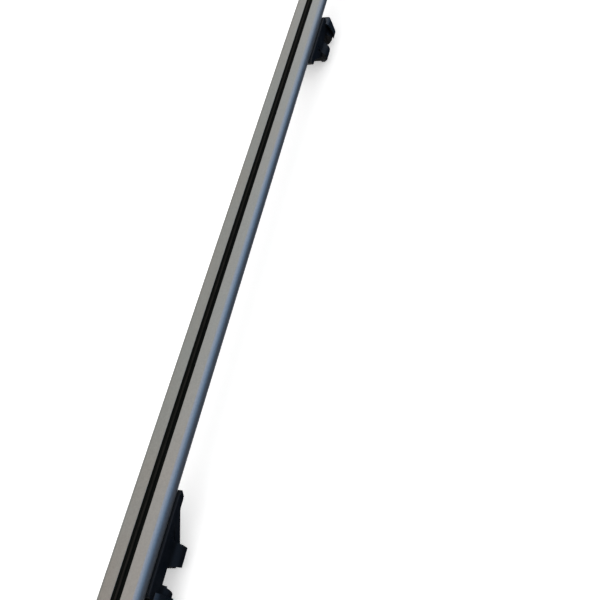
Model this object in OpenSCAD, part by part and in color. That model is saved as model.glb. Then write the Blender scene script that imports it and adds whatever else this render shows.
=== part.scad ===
// Roof rack crossbar for a car with raised roof rails.
// An oval aluminium bar with a rubber strip in its top slot stands on two
// plastic feet. Each foot has a gap for a rail, closed by a sliding jaw.
// X runs along the bar, Y across it and Z up. The origin is under the
// middle of the bar, at the height of the feet's soles. Millimetres.

/* [Bar] */
// Length over both end caps
bar_length = 1200; // [1100:10:1500]
// Width of the oval bar
bar_w = 50; // [48:0.5:54]
// Height of the oval bar
bar_h = 21; // [20:0.5:24]
// Fall of the bar's top and underside towards the sides, in degrees
bar_fall = 2.5; // [1:0.5:4]
// Outer wall of the extrusion
bar_wall = 2; // [1.6:0.1:2.4]
// Mouth of the slots in the top and the underside
slot_mouth = 11; // [9:0.5:12]
// Inner width of the slots
slot_w = 19; // [18:0.5:20]
// Inner depth of the slots
slot_depth = 6.4; // [5.8:0.1:6.8]
// Thickness of the lips beside a slot's mouth
slot_lip = 2.2; // [1.8:0.1:2.4]

/* [Strip and end caps] */
// Width of the strip's flange under the lips
strip_flange_w = 15; // [13:0.5:16.5]
// Thickness of the strip's flange
strip_flange_t = 1.8; // [1.2:0.1:2.4]
// Width of the ridge along the strip
ridge_w = 3.2; // [2.4:0.2:5]
// Height of the ridge above the bar's top
ridge_h = 0.8; // [0.4:0.1:1.5]
// Depth of the strip's shoulders below the bar's top
strip_recess = 0.5; // [0.2:0.1:1]
// Thickness of an end cap
cap_t = 4; // [3:0.5:7]
// Rounding of an end cap's outer edge
cap_round = 2; // [1:0.25:2.5]
// Length of an end cap's plugs inside the bar
plug_length = 14; // [8:1:24]

/* [Foot] */
// Distance between the middles of the two rail gaps
foot_spacing = 866; // [766:10:946]
// Height of the bar's underside above the soles
foot_h = 44; // [43.5:0.5:49]
// Wall of the saddle beside the bar
saddle_wall = 3; // [2.5:0.25:4]
// Clearance between the bar and the saddle
saddle_clear = 0.3; // [0.2:0.05:0.5]
// Height of the saddle's sides above the bar's underside
saddle_lip = 6; // [4.5:0.5:10]
// Thickness of the saddle's floor
saddle_floor = 4; // [3.5:0.25:5]
// Reach of the saddle inboard of the block
saddle_reach = 52; // [46:1:65]
// Width of the foot at its sole, before rounding
sole_w = 55; // [53:0.5:58]
// Width of the foot at its belly, before rounding
belly_w = 81; // [76:0.5:84]
// Height of the belly above the sole
belly_h = 16; // [13:0.5:19]
// Distance of the block's inboard face from the gap's middle
block_reach = 35; // [34:0.5:38]
// Height where the brace meets the block
brace_h = 18; // [14:1:22]
// How far the block's inboard side is cut back at the sole
toe_cut = 9; // [5:0.5:11]
// Wall of the moulded block and brace
foot_wall = 4; // [3:0.25:4.5]
// Depth of the panels in the brace's sides
panel_depth = 1.4; // [0.8:0.1:2]
// Width of the ribs between the panels
panel_rib = 1.8; // [1.4:0.1:2.4]

/* [Rail gap] */
// Width of the gap at its top, jaw closed
gap_top = 14; // [12:0.5:18]
// Height of the arch, from the gap's top to the bar's underside
arch_h = 16; // [15:0.5:18]
// Lean of the fixed side from the gap's top to the sole
fixed_lean = 6; // [3:0.5:7]
// Lean of the jaw's side from the gap's top to the sole
jaw_lean = 9; // [6:0.5:10]
// Thickness of the rubber pads
pad_t = 2.5; // [2:0.25:3]
// Height of the grip ridges on the pads
grip_h = 0.7; // [0.4:0.1:1]
// Distance between the grip ridges
grip_pitch = 4.5; // [3.5:0.5:8]

/* [Jaw and clamp bolt] */
// Distance of the jaw's outer face from the gap's middle
jaw_reach = 27; // [26.5:0.5:30]
// How far the jaw opens
jaw_travel = 10; // [6:0.5:13]
// Depth of the lips that carry the jaw
runner_depth = 3.6; // [3:0.1:4.5]
// Thickness of the lips that carry the jaw
runner_t = 3; // [2.5:0.25:3.5]
// Running clearance between the jaw and the foot
slide_clear = 0.3; // [0.2:0.05:0.4]
// Diameter of the clamp bolt
bolt_d = 6; // [5:0.25:6]
// Distance of the bolt's axis below the bar's underside
bolt_drop = 8.7; // [8.7:0.1:9]
// Diameter of the bolt's head
head_d = 10; // [8.5:0.25:10]
// Height of the bolt's head
head_h = 6; // [4:0.5:6]
// Size across the flats of the bolt's socket
socket_af = 5; // [3:0.5:5.5]
// Width of the square nut
nut_w = 10; // [9:0.5:11]
// Thickness of the square nut
nut_t = 5; // [4:0.25:6]
// Diameter of the washer under the bolt's head
washer_d = 11; // [10:0.25:11]
// Thickness of the washer
washer_t = 1.2; // [0.8:0.1:1.4]
// Running clearance of a shaft in its hole, on the radius
shaft_clear = 0.05; // [0.03:0.01:0.08]

/* [Fixing to the bar] */
// Length of the plate inside the bar's lower slot
plate_length = 44; // [38:1:56]
// Width of the plate
plate_w = 17.6; // [15:0.2:18]
// Thickness of the plate
plate_t = 4; // [3:0.25:4.5]
// Diameter of the plate's screws
screw_d = 6; // [5:0.25:6.5]
// Diameter of the screws' heads
screw_head_d = 10; // [8.5:0.25:11]
// Height of the screws' heads
screw_head_h = 4; // [3:0.25:5]

/* [Cover and lock] */
// Depth of the cover outside the jaw's face
cover_depth = 15; // [15:0.5:17]
// How far the cover's sides reach back beside the jaw
cover_wrap = 8; // [4:0.5:10]
// Wall of the cover
cover_wall = 2; // [1.6:0.1:2]
// Rounding of the cover's edges
cover_round = 8; // [5:0.5:8]
// Distance of the hinge pin below the lock's axis
pin_drop = 9.8; // [9.8:0.1:11]
// Diameter of the hinge pin
pin_d = 3; // [2.5:0.25:3.25]
// Outer diameter of the hinge barrel
barrel_d = 6; // [5.5:0.25:6.25]
// Thickness of the jaw's hinge lugs
lug_t = 5; // [4:0.25:5.5]
// Distance of the lock's axis below the bolt's axis
lock_drop = 17; // [16.9:0.1:17.5]
// Diameter of the lock's barrel
lock_d = 10; // [9:0.25:10.5]
// Wall of the lock's sleeve
sleeve_wall = 1.4; // [1.1:0.1:1.6]
// Length of the lock's tongue
tongue_length = 9; // [8.75:0.05:9.2]
// Width of the lock's tongue
tongue_w = 5; // [4:0.25:5.5]
// Thickness of the lock's tongue
tongue_t = 1.6; // [1.2:0.1:1.8]

/* [Hidden] */
$fn = 48;

// A cut reaches this far past the face that it opens
over = 1;
// Fit of a plug or pad against its own piece
seat_clear = 0.1;
// Room around a bolt or screw in a moulded hole, on the radius
hole_clear = 0.3;
// Room between a moulded piece and a moving one that never touches it
free_clear = 0.6;

// The bar
bar_body = bar_length - 2 * cap_t;
bar_mid = foot_h + bar_h / 2;
bar_top = foot_h + bar_h;

// The foot, measured from the middle of its rail gap, outboard positive
saddle_half = bar_w / 2 + saddle_clear + saddle_wall;
saddle_top = foot_h + saddle_lip;
saddle_under = foot_h - saddle_clear - saddle_floor;
saddle_in = -block_reach - saddle_reach;
sole_half = sole_w / 2;
belly_half = belly_w / 2;
gap_h = foot_h - arch_h;
// Height where the leaning sides turn upright beside the bar
draft_top = foot_h + 3;
// Half the foot's width above its belly, and half the brace's width at the height of the soles
waist_half = saddle_half + 1;
brace_half = saddle_half + 2.2;
// Height of the cut at the block's inboard edge
toe_h = 12;
// Roundings of the soles, of the belly and of the waist above it, of the block's
// inboard edges, of the turn below the bar and of the saddle's rims
sole_round = 2;
belly_round = 10;
waist_round = 8;
block_round = 7;
draft_round = 6;
rim_round = 1.5;
// Length of the thicker band at the saddle's inboard end, and how far it stands out
band_length = 6;
band_proud = 1;
// Distances from the saddle's inboard end to the ends of its sloping tip
tip_slope = 7;
tip_length = 19;
// Wall between the saddle's tip and the hollow of the brace
tip_wall = 6;
// The hollow of the brace, and the rib across its middle
core_in = saddle_in + tip_slope + tip_wall;
core_out = -block_reach - foot_wall;
rib_t = 2.5;
rib_h = 5;
// The plate's screws stand on both sides of that rib
screw_pitch = (core_out - core_in) / 2 + rib_t;
// Plastic left above the hollow of the block
core_roof = 6;
// Distance of a rubber pad's ends from the edges of its piece
pad_inset = 2.5;
// Height of the pads' lower ends above the sole
pad_low = 2;
roof_z = gap_h + pad_t;
fixed_top = -gap_top / 2;
jaw_top = gap_top / 2;
arch_in = fixed_top - pad_t;
arch_out = jaw_top + pad_t;
bolt_z = foot_h - bolt_drop;
lock_h = bolt_z - lock_drop;
pin_h = lock_h - pin_drop;
bolt_hole_r = bolt_d / 2 + hole_clear;
// Plastic between the block's inboard wall and the nut
nut_wall = 2.5;
nut_u = -block_reach + foot_wall + nut_wall + nut_t / 2;

// The jaw hangs by its flanges on the lips of the foot
runner_top = roof_z - pad_t - slide_clear;
runner_low = runner_top - runner_t;
// Half the width across the jaw's flanges
flange_half = 24;
neck_half = flange_half - runner_depth;
// The jaw's sides stand in from the foot's, which leaves room for the cover's sides
jaw_setback = 2;
jaw_crown = foot_h - free_clear;
skirt_end = jaw_reach - slide_clear;

// The clamp bolt reaches through the nut with the jaw fully open
head_u = jaw_reach + washer_t;
bolt_tip_u = nut_u - nut_t / 2 - jaw_travel;

// The cover closes on the jaw's outer face and turns on its pin
cover_back = jaw_reach + slide_clear;
cover_rim = cover_back - cover_wrap;
cover_face = jaw_reach + cover_depth;
cover_half = belly_half;
cover_low = pin_h - barrel_d / 2;
// The closed cover stays this far below the bar
cover_gap = 1.2;
cover_top = foot_h - cover_gap;
cover_waist = (cover_low + cover_top) / 2;
// Rise from the pin to the bend at the foot of the cover's face
cover_chin = 8;
// How far the top of the cover's face leans back, from that far above its waist
cover_brow = 4;
// How far the cover narrows at each side: at its top, at its foot and towards its face
narrow_top = 9;
narrow_low = 7;
narrow_face = 11;
// Rounding at the widest place
wide_round = 12;
// The hinge barrels turn clear of the jaw's outer face and of the lugs
turn_clear = 0.5;
pin_u = jaw_reach + barrel_d / 2 + turn_clear;
pin_half = sole_half - pad_inset;
lug_in = pin_half - lug_t;

// The lock, its tongue in front of the jaw's outer face and its keeper above
sleeve_r = lock_d / 2 + shaft_clear + sleeve_wall;
sleeve_back = pin_u + 0.5;
// How far the sleeve's flange stands out of the cover, and beyond the sleeve
flange_proud = 1;
lock_face = cover_face + flange_proud;
// Radius of the barrel's stem, which carries the tongue, and of the screw in it
stem_r = 3;
fixing_r = 1.5;
// Length of that screw inside the stem, and the thickness and overhang of its head
screw_hold = 4;
fixing_head_t = 1.4;
fixing_head_over = 1;
// How far the barrel's face lies back in its sleeve, and the tongue's eye stands over its sides
barrel_back = 0.4;
eye_over = 1.5;
// Wall and depth of the boss that holds the sleeve inside the cover
boss_wall = 1.8;
boss_back = 2;
tongue_u = sleeve_back - tongue_t - slide_clear;
// Room between the turning tongue's corner and the keeper, and behind the tongue
keeper_clear = 0.5;
hook_clear = 0.4;
keeper_z = lock_h + norm([tongue_length, tongue_w / 2]) + keeper_clear;
// Thickness of the keeper and how far its hook reaches down
keeper_t = 1.4;
hook_t = 1.8;
hook_drop = 3;

// Outline helpers

function unit(v) = v / norm(v);
function turn(a) = a > 180 ? a - 360 : a < -180 ? a + 360 : a;
function wrap(list, i) = list[(i + len(list)) % len(list)];
function flat(p) = [p[0], p[1]];

// The corner at p, between the points before and after it, as an arc
function corner(before, p, after, r, steps) =
    let (v1 = unit(before - p), v2 = unit(after - p))
    let (half = acos(v1 * v2) / 2)
    let (c = p + unit(v1 + v2) * r / sin(half))
    let (s = p + v1 * r / tan(half) - c, e = p + v2 * r / tan(half) - c)
    let (a0 = atan2(s[1], s[0]), sweep = turn(atan2(e[1], e[0]) - a0))
    [for (k = [0:steps]) c + r * [cos(a0 + sweep * k / steps), sin(a0 + sweep * k / steps)]];

// An outline from corners that are each [x, y, radius]
function rounded(pts, steps = 6) = [for (i = [0:len(pts) - 1])
    let (p = pts[i])
    each p[2] > 0
        ? corner(flat(wrap(pts, i - 1)), flat(p), flat(wrap(pts, i + 1)), p[2], steps)
        : [flat(p)]];

// The same corners, running anticlockwise, moved inwards by d
function inset(pts, d) = [for (i = [0:len(pts) - 1])
    let (p = flat(pts[i]))
    let (e1 = unit(p - flat(wrap(pts, i - 1))), e2 = unit(flat(wrap(pts, i + 1)) - p))
    let (n1 = [-e1[1], e1[0]], n2 = [-e2[1], e2[0]])
    let (q = p + d * (n1 + n2) / (1 + n1 * n2))
    [q[0], q[1], max(pts[i][2] - d, 0)]];

// A point between p and q
function along(p, q, t) = p + (q - p) * t;

// Placing helpers

// A shape in Y and Z, carried along X
module along_x(from, to) {
    translate([from, 0, 0]) rotate([90, 0, 90]) linear_extrude(to - from) children();
}

// A shape in X and Z, carried across Y
module across_y(from, to) {
    translate([0, to, 0]) rotate([90, 0, 0]) linear_extrude(to - from) children();
}

// A shape in X and Y, carried up Z
module up_z(from, to) {
    translate([0, 0, from]) linear_extrude(to - from) children();
}

// A round rod along X or Y
module rod_x(from, to, r) {
    translate([from, 0, 0]) rotate([0, 90, 0]) cylinder(h = to - from, r = r);
}

module rod_y(from, to, r) {
    translate([0, to, 0]) rotate([90, 0, 0]) cylinder(h = to - from, r = r);
}

module both_sides() {
    children();
    mirror([0, 1, 0]) children();
}

// A foot's pieces are drawn about its rail gap, outboard along +X
module left_foot() {
    translate([-foot_spacing / 2, 0, 0]) rotate([0, 0, 180]) children();
}

module right_foot() {
    translate([foot_spacing / 2, 0, 0]) children();
}

// The bar

// Outline of the bar, made larger or smaller by grow
module oval(grow = 0) {
    flat_half = (bar_w - bar_h) / 2;
    crest = bar_h / 2 + grow / cos(bar_fall);
    edge = crest - bar_w * tan(bar_fall);
    intersection() {
        union() {
            square([2 * flat_half, bar_h + 4 * abs(grow)], center = true);
            for (side = [-1, 1]) translate([side * flat_half, 0]) circle(r = bar_h / 2 + grow);
        }
        polygon([[0, crest], [-bar_w, edge], [-bar_w, -edge], [0, -crest], [bar_w, -edge], [bar_w, edge]]);
    }
}

// One T slot, opening upwards
module slot() {
    translate([-slot_mouth / 2, bar_h / 2 - slot_lip - over]) square([slot_mouth, slot_lip + 2 * over]);
    translate([-slot_w / 2, bar_h / 2 - slot_lip - slot_depth]) square([slot_w, slot_depth]);
}

// One of the two hollow chambers beside the slots
module chamber(shrink = 0) {
    inner = slot_w / 2 + bar_wall + shrink;
    intersection() {
        oval(-bar_wall - shrink);
        translate([inner, -bar_h / 2]) square([bar_w / 2, bar_h]);
    }
}

module bar() {
    color([0.70, 0.70, 0.68])
    translate([0, 0, bar_mid])
    along_x(-bar_body / 2, bar_body / 2)
    difference() {
        oval();
        slot();
        mirror([0, 1]) slot();
        chamber();
        mirror([1, 0]) chamber();
    }
}

// The strip's lips hook under the lips of the top slot, and its ridge stands proud
module slot_strip() {
    under = bar_top - slot_lip;
    shoulder = bar_top - strip_recess;
    stem = slot_mouth / 2 - seat_clear;
    half = [
        [strip_flange_w / 2, under - strip_flange_t, 0.5],
        [strip_flange_w / 2, under, 0],
        [stem, under, 0],
        [stem, shoulder, 0.4],
        [ridge_w / 2, shoulder, 0.4],
        [ridge_w / 2 - 0.4, bar_top + ridge_h, 0.6]];
    mirrored = [for (i = [len(half) - 1:-1:0]) [-half[i][0], half[i][1], half[i][2]]];
    color([0.07, 0.07, 0.07])
    along_x(-bar_body / 2, bar_body / 2) polygon(rounded(concat(half, mirrored), 4));
}

// An end cap at the bar's right end: a rounded plate and two plugs
module cap_shape() {
    inside = bar_body / 2;
    outside = bar_length / 2;
    plate_side = [
        [inside, -bar_h / 2, 0],
        [outside, -bar_h / 2, cap_round],
        [outside, bar_h / 2, cap_round],
        [inside, bar_h / 2, 0]];
    plate_plan = [
        [inside, -bar_w / 2, 0],
        [outside, -bar_w / 2, cap_round],
        [outside, bar_w / 2, cap_round],
        [inside, bar_w / 2, 0]];
    translate([0, 0, bar_mid]) {
        intersection() {
            along_x(inside, outside) oval();
            across_y(-bar_w, bar_w) polygon(rounded(plate_side, 4));
            up_z(-bar_h, bar_h) polygon(rounded(plate_plan, 4));
        }
        for (side = [0, 1])
            along_x(inside - plug_length, inside) mirror([side, 0]) chamber(seat_clear);
    }
}

module end_cap() {
    color([0.09, 0.09, 0.10]) cap_shape();
}

// The foot

// Across the foot: a flat sole, bellied sides and a top edge beside the bar
function foot_section(grow = 0) = [
    [-sole_half - grow, 0, sole_round],
    [sole_half + grow, 0, sole_round],
    [belly_half + grow, belly_h, belly_round],
    [waist_half + grow, gap_h, waist_round],
    [saddle_half + grow, draft_top, draft_round],
    [saddle_half + grow, saddle_top, rim_round],
    [-saddle_half - grow, saddle_top, rim_round],
    [-saddle_half - grow, draft_top, draft_round],
    [-waist_half - grow, gap_h, waist_round],
    [-belly_half - grow, belly_h, belly_round]];

// Across the brace and the saddle's end: plain leaning sides
function brace_section(grow = 0) = [
    [-brace_half - grow, 0, 0],
    [brace_half + grow, 0, 0],
    [saddle_half + grow, draft_top, draft_round],
    [saddle_half + grow, saddle_top, rim_round],
    [-saddle_half - grow, saddle_top, rim_round],
    [-saddle_half - grow, draft_top, draft_round]];

// Fixed side of the gap at a height, with the rubber pad's thickness behind it
function fixed_at(z, behind = 0) = fixed_top - behind - fixed_lean * (gap_h - z) / gap_h;
function jaw_at(z, behind = 0) = jaw_top + behind + jaw_lean * (gap_h - z) / gap_h;

tip = [saddle_in, saddle_top];
tip_under = [saddle_in + tip_slope, saddle_under];
brace_top = [saddle_in + tip_length, saddle_under];
brace_foot = [-block_reach, brace_h];

// Along the foot, seen from the side
side_outline = [
    [tip[0], tip[1], 1],
    [tip_under[0], tip_under[1], 2.5],
    [brace_top[0], brace_top[1], 8],
    [brace_foot[0], brace_foot[1], 5],
    [-block_reach, toe_h, 4],
    [-block_reach + toe_cut, 0, 3],
    [fixed_at(0, pad_t), 0, 2],
    [arch_in, roof_z, 0],
    [arch_out, roof_z, 0],
    [arch_out, runner_low, 0],
    [skirt_end, runner_low, 4],
    [skirt_end, saddle_top, 4]];

// Hollow of the block, open at the sole
module block_core() {
    inboard = -block_reach + foot_wall;
    half = sole_half - foot_wall - 0.5;
    top = roof_z - core_roof;
    across_y(-half, half)
    polygon(rounded([
        [inboard, -over, 0],
        [fixed_at(-over, pad_t) - foot_wall, -over, 0],
        [fixed_at(top, pad_t) - foot_wall, top, sole_round],
        [inboard, top, sole_round]], 4));
}

// Hollow of the brace, open below, where the plate's screws are reached
module brace_core() {
    half = saddle_half - foot_wall + 0.5;
    rib_u = (core_in + core_out - rib_t) / 2;
    difference() {
        across_y(-half, half)
        polygon([
            [core_in, saddle_under],
            [core_in, -over],
            [core_out, -over],
            [core_out, saddle_under]]);
        across_y(-half, half)
        translate([rib_u, saddle_under - rib_h]) square([rib_t, rib_h]);
    }
}

// Sunk panels on both sides of the brace, with ribs along the brace's edge
module side_panels() {
    low = along(brace_top, brace_foot, 0.94);
    high = along(brace_top, brace_foot, 0.04);
    slope = unit(low - high);
    across = [-slope[1], slope[0]];
    corner_top = [-block_reach - 1, saddle_under + 1];
    // Rim beside the brace's edge, and the pitch of the panels
    edge = 3;
    step = 6.5;
    module strip_of(k) {
        a = high + across * (edge + k * step);
        b = a + across * (step - panel_rib);
        reach = slope * norm(low - high) * 1.4;
        polygon([a - reach, a + reach, b + reach, b - reach]);
    }
    intersection() {
        across_y(-bar_w, bar_w)
        intersection() {
            for (k = [0:3]) strip_of(k);
            polygon([
                high + across * edge,
                [corner_top[0], low[1] + 6],
                corner_top,
                [high[0] + 2, corner_top[1]]]);
        }
        difference() {
            translate([saddle_in, -bar_w, 0]) cube([-saddle_in, 2 * bar_w, saddle_top]);
            along_x(saddle_in - over, over) polygon(rounded(inset(brace_section(), panel_depth)));
        }
    }
}

// Room for the jaw: its flanges run above the foot's lips, between the skirts
module jaw_runway() {
    along_x(arch_out - over, skirt_end + over) {
        translate([-flange_half - slide_clear, runner_top])
            square([2 * (flange_half + slide_clear), foot_h - runner_top]);
        translate([-neck_half - slide_clear, 0])
            square([2 * (neck_half + slide_clear), foot_h]);
    }
}

// The block and the arch, with the block's inboard edges rounded
module block_solid() {
    intersection() {
        along_x(-block_reach, skirt_end) polygon(rounded(foot_section()));
        up_z(0, saddle_top)
        polygon(rounded([
            [-block_reach, -belly_half, block_round],
            [skirt_end, -belly_half, 0],
            [skirt_end, belly_half, 0],
            [-block_reach, belly_half, block_round]]));
    }
}

// The arch above the gap ends where the jaw begins
module foot_solid() {
    intersection() {
        union() {
            block_solid();
            along_x(saddle_in, -block_reach + over) polygon(rounded(brace_section()));
            along_x(saddle_in, saddle_in + band_length) polygon(rounded(brace_section(band_proud)));
        }
        across_y(-bar_w, bar_w) polygon(rounded(side_outline));
    }
}

module foot_housing() {
    color([0.10, 0.10, 0.11])
    difference() {
        foot_solid();
        translate([0, 0, bar_mid]) along_x(saddle_in - over, skirt_end + over) oval(saddle_clear);
        block_core();
        brace_core();
        side_panels();
        difference() {
            jaw_runway();
            translate([arch_out - 2 * over, -bar_w, roof_z])
                cube([2 * over - slide_clear, 2 * bar_w, foot_h]);
        }
        nut_pocket();
        translate([0, 0, bolt_z]) rod_x(-block_reach - foot_wall - over, arch_out + over, bolt_hole_r);
        for (u = screw_places()) translate([u, 0, saddle_under - over])
            cylinder(h = saddle_floor + saddle_clear + 2 * over, r = screw_d / 2 + hole_clear);
    }
}

// The nut slides up its pocket from the hollow below
module nut_pocket() {
    low = roof_z - core_roof - over;
    top = bolt_z + nut_w / 2 + seat_clear;
    translate([nut_u - nut_t / 2 - seat_clear, -nut_w / 2 - seat_clear, low])
        cube([nut_t + 2 * seat_clear, nut_w + 2 * seat_clear, top - low]);
}

// Rubber pads

// Ridges on a pad's face: from one end of the face to the other, anticlockwise
function grip_face(p, q) =
    let (length = norm(q - p), count = floor(length / grip_pitch))
    let (dir = unit(q - p), out = [dir[1], -dir[0]])
    [for (k = [0:count - 1])
        let (mid = (k + 0.5) * length / count)
        each [
            p + dir * (mid - grip_pitch * 0.36) - out * grip_h,
            p + dir * (mid - grip_pitch * 0.14),
            p + dir * (mid + grip_pitch * 0.14),
            p + dir * (mid + grip_pitch * 0.36) - out * grip_h]];

// The fixed pad lines the gap's wall and its roof
module rail_pad() {
    half = sole_half - pad_inset;
    low = pad_low;
    end = jaw_top - slide_clear;
    wall_low = [fixed_at(low), low];
    wall_high = [fixed_at(gap_h - 2), gap_h - 2];
    color([0.13, 0.13, 0.13])
    across_y(-half, half)
    polygon(concat(
        [[fixed_at(low, pad_t), low], wall_low - [grip_h, 0]],
        grip_face(wall_low, wall_high),
        [[fixed_top + 2, gap_h], [end, gap_h], [end, roof_z], [arch_in, roof_z]]));
}

// The jaw's pad lines its slanted face
module jaw_pad() {
    half = sole_half - pad_inset;
    low = pad_low;
    high = runner_low - 1;
    face_low = [jaw_at(low), low];
    face_high = [jaw_at(high), high];
    color([0.13, 0.13, 0.13])
    across_y(-half, half)
    polygon(concat(
        [[jaw_at(high, pad_t), high], face_high + [grip_h, 0]],
        grip_face(face_high, face_low),
        [face_low + [grip_h, 0], [jaw_at(low, pad_t), low]]));
}

// Fixing to the bar

function screw_places() =
    let (mid = (core_in + core_out) / 2)
    [mid - screw_pitch / 2, mid + screw_pitch / 2];

// The plate sits on the lips of the bar's lower slot
module clamp_plate() {
    places = screw_places();
    mid = (places[0] + places[1]) / 2;
    low = foot_h + slot_lip + seat_clear;
    color([0.62, 0.63, 0.65])
    difference() {
        up_z(low, low + plate_t)
        polygon(rounded([
            [mid - plate_length / 2, -plate_w / 2, 3],
            [mid + plate_length / 2, -plate_w / 2, 3],
            [mid + plate_length / 2, plate_w / 2, 3],
            [mid - plate_length / 2, plate_w / 2, 3]], 5));
        for (u = places) translate([u, 0, low - over])
            cylinder(h = plate_t + 2 * over, r = screw_d / 2 + shaft_clear);
    }
}

// Each screw's head bears on the underside of the saddle's floor
module plate_screws() {
    tip_clear = 1;
    tip_z = foot_h + slot_lip + slot_depth - tip_clear;
    color([0.60, 0.61, 0.63])
    for (u = screw_places()) translate([u, 0, 0])
    difference() {
        union() {
            up_z(saddle_under - screw_head_h, saddle_under) circle(d = screw_head_d);
            up_z(saddle_under, tip_z) circle(d = screw_d);
        }
        up_z(saddle_under - screw_head_h - over, saddle_under - screw_head_h / 3)
            circle(d = socket_af / cos(30), $fn = 6);
    }
}

module captive_nut() {
    color([0.62, 0.63, 0.65])
    translate([0, 0, bolt_z])
    difference() {
        along_x(nut_u - nut_t / 2, nut_u + nut_t / 2) square(nut_w, center = true);
        rod_x(nut_u - nut_t / 2 - over, nut_u + nut_t / 2 + over, bolt_d / 2 + shaft_clear);
    }
}

// The jaw

// Across the jaw: the foot's own section below, a neck and a hanging flange above
module jaw_section() {
    neck_z = runner_low - slide_clear;
    intersection() {
        polygon(rounded(foot_section(-jaw_setback)));
        translate([-bar_w, 0]) square([2 * bar_w, neck_z]);
    }
    flange_z = runner_top + slide_clear;
    translate([-neck_half, neck_z - over]) square([2 * neck_half, flange_z - neck_z + 2 * over]);
    translate([-flange_half, flange_z]) square([2 * flange_half, jaw_crown - flange_z]);
}

jaw_outline = [
    [jaw_at(0, pad_t), 0, 1.5],
    [jaw_reach, 0, 2],
    [jaw_reach, jaw_crown, 1],
    [arch_out, jaw_crown, 1],
    [arch_out, runner_top, 0],
    [jaw_at(runner_top, pad_t), runner_top, 0]];

// Two pockets in the jaw's outer face, beside the lock's keeper
module jaw_pockets() {
    depth = 5;
    inner = 8;
    outer = lug_in - 1;
    low = pin_h + 6;
    high = runner_low - 3;
    both_sides()
    along_x(jaw_reach - depth, jaw_reach + over)
    polygon(rounded([[inner, low, 2], [outer, low, 2], [outer, high, 2], [inner, high, 2]], 4));
}

// Lugs for the hinge pin on the jaw's outer face
module jaw_lugs() {
    both_sides() {
        translate([pin_u, 0, pin_h]) rod_y(lug_in, pin_half, barrel_d / 2);
        translate([jaw_reach - over, lug_in, pin_h - barrel_d / 2])
            cube([pin_u - jaw_reach + over, lug_t, barrel_d]);
    }
}

// The hook that the lock's tongue turns behind
module keeper() {
    half = 5;
    hook_u = tongue_u + tongue_t + hook_clear;
    across_y(-half, half)
    polygon([
        [jaw_reach - over, keeper_z],
        [hook_u, keeper_z],
        [hook_u, keeper_z - hook_drop],
        [hook_u + hook_t, keeper_z - hook_drop],
        [hook_u + hook_t, keeper_z + keeper_t],
        [jaw_reach - over, keeper_z + keeper_t]]);
}

module jaw() {
    color([0.11, 0.11, 0.12])
    difference() {
        union() {
            intersection() {
                along_x(0, jaw_reach) jaw_section();
                across_y(-bar_w, bar_w) polygon(rounded(jaw_outline, 4));
            }
            jaw_lugs();
            keeper();
        }
        jaw_pockets();
        translate([0, 0, bolt_z]) rod_x(0, jaw_reach + over, bolt_hole_r);
        translate([pin_u, 0, pin_h]) rod_y(-pin_half - over, pin_half + over, pin_d / 2 + shaft_clear);
    }
}

module hinge_pin() {
    color([0.66, 0.67, 0.69])
    translate([pin_u, 0, pin_h]) rod_y(-pin_half, pin_half, pin_d / 2);
}

module washer() {
    color([0.66, 0.67, 0.69])
    translate([0, 0, bolt_z])
    difference() {
        rod_x(jaw_reach, head_u, washer_d / 2);
        rod_x(jaw_reach - over, head_u + over, bolt_hole_r);
    }
}

// A socket-head bolt from the jaw's outer face through the nut
module clamp_bolt() {
    color([0.64, 0.65, 0.67])
    translate([0, 0, bolt_z])
    difference() {
        union() {
            rod_x(head_u, head_u + head_h, head_d / 2);
            rod_x(bolt_tip_u, head_u + over, bolt_d / 2);
        }
        along_x(head_u + head_h - 3, head_u + head_h + over) circle(d = socket_af / cos(30), $fn = 6);
    }
}

// The cover

// Seen from the side, from the front and from above
cover_side = [
    [cover_rim, cover_low, 0],
    [pin_u + 2, cover_low, 2],
    [cover_face - 0.8, pin_h + cover_chin, cover_round],
    [cover_face, cover_waist + cover_brow, cover_round],
    [cover_face - cover_brow, cover_top, cover_round],
    [cover_rim, cover_top, 0]];

cover_front = [
    [-cover_half + narrow_low, cover_low, 6],
    [cover_half - narrow_low, cover_low, 6],
    [cover_half, belly_h + 2, wide_round],
    [cover_half - narrow_top, cover_top, cover_round + 4],
    [-cover_half + narrow_top, cover_top, cover_round + 4],
    [-cover_half, belly_h + 2, wide_round]];

cover_plan = [
    [cover_rim, -cover_half + 1, 0],
    [cover_back, -cover_half, 6],
    [cover_face, -cover_half + narrow_face, cover_round + 3],
    [cover_face, cover_half - narrow_face, cover_round + 3],
    [cover_back, cover_half, 6],
    [cover_rim, cover_half - 1, 0]];

// An outline of the cover d in from its skin, run out through its rim
function hollow(pts, d) = [for (p = inset(pts, d))
    [p[0] < cover_rim + 1.5 * d ? cover_rim - over : p[0], p[1], p[2]]];

// The cover's outer form
module cover_form() {
    intersection() {
        across_y(-belly_w, belly_w) polygon(rounded(cover_side));
        along_x(cover_rim, cover_face) polygon(rounded(cover_front));
        up_z(0, foot_h) polygon(rounded(cover_plan));
    }
}

// The hollow of the cover, open towards the foot
module cover_hollow() {
    intersection() {
        across_y(-belly_w, belly_w) polygon(rounded(hollow(cover_side, cover_wall)));
        along_x(cover_rim - over, cover_face) polygon(rounded(inset(cover_front, cover_wall)));
        up_z(0, foot_h) polygon(rounded(hollow(cover_plan, cover_wall)));
    }
}

// Between its wrapped sides the cover ends at the jaw's face. Below the jaw's
// widest place the sides stand as wide apart as there, to pass it while turning.
module jaw_room() {
    around = rounded(foot_section(free_clear - jaw_setback));
    widest = max([for (p = around) p[0]]);
    along_x(cover_rim - over, cover_back) {
        polygon(around);
        translate([-widest, -over]) square([2 * widest, belly_h + over]);
        intersection() {
            polygon(rounded(foot_section(free_clear)));
            translate([-bar_w, runner_low - slide_clear - free_clear]) square([2 * bar_w, bar_w]);
        }
    }
}

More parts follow.
